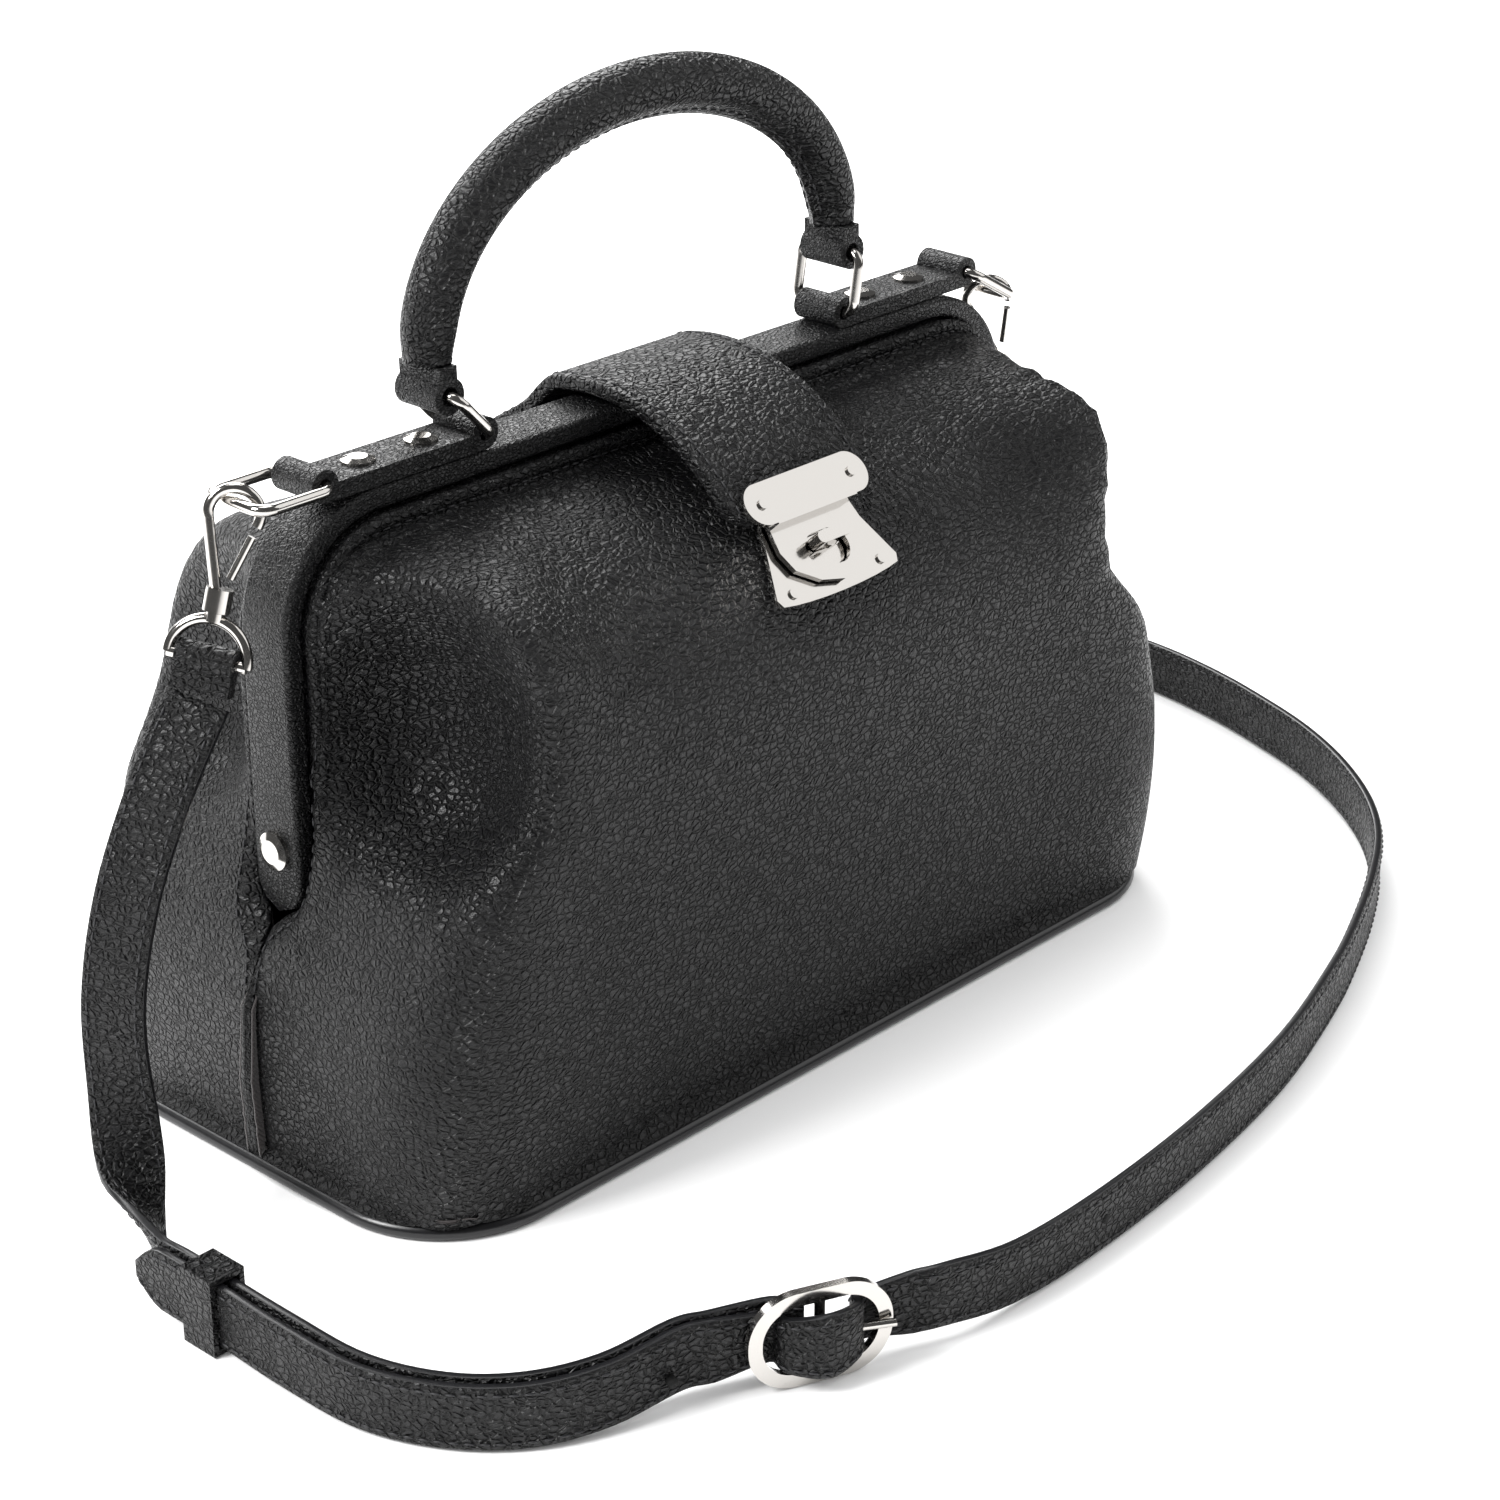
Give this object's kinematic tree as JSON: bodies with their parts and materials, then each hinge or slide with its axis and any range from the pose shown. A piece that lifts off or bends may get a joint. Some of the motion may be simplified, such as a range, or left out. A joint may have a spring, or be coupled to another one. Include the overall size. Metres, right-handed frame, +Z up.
{
  "type": "doctor bag",
  "caption": "Leather doctor bag with two hinged U-shaped jaws, flap with turn lock, arched ring handle and buckled shoulder strap on snap hooks.",
  "frame": {"origin": "middle of the underside of the base, on the surface it stands on", "axes": "+X along the bag's length, -Y to its front with the lock, +Z up"},
  "size_m": [0.495, 0.2784, 0.279],
  "materials": {
    "black_leather": "pebbled full grain, satin",
    "smooth_leather": "fine grain, satin",
    "edge_leather": "edge painted, glossy",
    "polished_nickel": "polished",
    "frame_steel": "plain",
    "lining_cloth": "woven twill, matte",
    "stiffener": "plain board",
    "rope_core": "twisted cord"
  },
  "bodies": {
    "bag": {"bottom_panel": "black_leather", "base_board": "stiffener", "base_piping": "edge_leather", "front_panel_lower": "black_leather", "back_panel": "black_leather", "lining_back": "lining_cloth", "back_frame_bar": "frame_steel", "back_frame_cover": "smooth_leather", "back_welt": "smooth_leather", "hinge_rivet_left": "polished_nickel", "hinge_rivet_right": "polished_nickel", "top_strap_left": "smooth_leather", "top_strap_right": "smooth_leather", "strap_rivets": "polished_nickel", "flap_root": "black_leather", "hook_dee_left": "polished_nickel", "hook_dee_right": "polished_nickel", "strap_end_left": "black_leather", "strap_end_right": "black_leather", "shoulder_strap_short": "black_leather", "shoulder_strap_long": "black_leather", "strap_keeper": "black_leather", "buckle_frame": "polished_nickel"},
    "front_jaw": {"front_panel_upper": "black_leather", "lining_front": "lining_cloth", "front_frame_bar": "frame_steel", "front_frame_cover": "smooth_leather", "front_welt": "smooth_leather", "lock_base": "polished_nickel", "lock_screws": "polished_nickel", "lock_backing": "frame_steel"},
    "knob": {"turn_knob": "polished_nickel"},
    "flap": {"flap_end": "black_leather", "hasp_plate": "polished_nickel", "hasp_screws": "polished_nickel"},
    "ring_left": {"handle_ring_left": "polished_nickel"},
    "ring_right": {"handle_ring_right": "polished_nickel"},
    "handle": {"handle_tab_left": "smooth_leather", "handle_tab_right": "smooth_leather", "handle_grip": "black_leather", "handle_core": "rope_core"},
    "side_ring_left": {"side_ring_left": "polished_nickel"},
    "side_ring_right": {"side_ring_right": "polished_nickel"},
    "hook_left": {"hook_body_left": "polished_nickel"},
    "hook_right": {"hook_body_right": "polished_nickel"},
    "gate_left": {"hook_gate_left": "polished_nickel"},
    "gate_right": {"hook_gate_right": "polished_nickel"},
    "prong": {"buckle_prong": "polished_nickel"}
  },
  "joints": [
    {"name": "front_jaw_open", "type": "hinge", "parent": "bag", "child": "front_jaw", "pos_m": [0, 0, 0.092], "axis": [1, 0, 0], "range_deg": [0, 40]},
    {"name": "flap_lift", "type": "hinge", "parent": "bag", "child": "flap", "pos_m": [0, -0.02879, 0.18927], "axis": [-1, 0, 0], "range_deg": [0, 128]},
    {"name": "knob_turn", "type": "hinge", "parent": "front_jaw", "child": "knob", "pos_m": [0, -0.06115, 0.15272], "axis": [0, -0.7455, 0.6665], "range_deg": [0, 90]},
    {"name": "ring_left_swing", "type": "hinge", "parent": "bag", "child": "ring_left", "pos_m": [-0.072, 0, 0.1918], "axis": [0, 1, 0], "range_deg": [-8, 18]},
    {"name": "handle_level", "type": "hinge", "parent": "ring_left", "child": "handle", "pos_m": [-0.08428, 0, 0.20496], "axis": [0, 1, 0], "range_deg": [-16.4, 7.3]},
    {"name": "ring_right_swing", "type": "hinge", "parent": "bag", "child": "ring_right", "pos_m": [0.072, 0, 0.1918], "axis": [0, 1, 0], "range_deg": [-6, 13.4]},
    {"name": "side_ring_left_swing", "type": "hinge", "parent": "bag", "child": "side_ring_left", "pos_m": [-0.128, 0, 0.1918], "axis": [0, 1, 0], "range_deg": [-8, 0]},
    {"name": "side_ring_right_swing", "type": "hinge", "parent": "bag", "child": "side_ring_right", "pos_m": [0.128, 0, 0.1918], "axis": [0, 1, 0], "range_deg": [0, 5]},
    {"name": "hook_left_swivel", "type": "hinge", "parent": "bag", "child": "hook_left", "pos_m": [-0.1494, 0, 0.1952], "axis": [0.309, 0, 0.9511], "range_deg": [-4, 20]},
    {"name": "gate_left_open", "type": "hinge", "parent": "hook_left", "child": "gate_left", "pos_m": [-0.15514, -0.00145, 0.17281], "axis": [-0.6725, -0.7071, 0.2185], "range_deg": [0, 20], "stiffness_Nm_per_rad": 0.004, "springref_deg": -17.19},
    {"name": "hook_right_swivel", "type": "hinge", "parent": "bag", "child": "hook_right", "pos_m": [0.14632, 0, 0.1837], "axis": [-0.309, 0, 0.9511], "range_deg": [-4, 20]},
    {"name": "gate_right_open", "type": "hinge", "parent": "hook_right", "child": "gate_right", "pos_m": [0.15483, -0.00145, 0.16221], "axis": [-0.6725, -0.7071, -0.2185], "range_deg": [0, 20], "stiffness_Nm_per_rad": 0.004, "springref_deg": -17.19},
    {"name": "prong_lift", "type": "hinge", "parent": "bag", "child": "prong", "pos_m": [-0.128, -0.179, 0.0138], "axis": [0, 0, -1], "range_deg": [0, 20]}
  ],
  "couplings": [
    {"joint": "flap_lift", "follows": "front_jaw_open", "ratio": 3.2},
    {"joint": "handle_level", "follows": "ring_left_swing", "ratio": -0.908},
    {"joint": "ring_right_swing", "follows": "ring_left_swing", "ratio": 0.742}
  ]
}
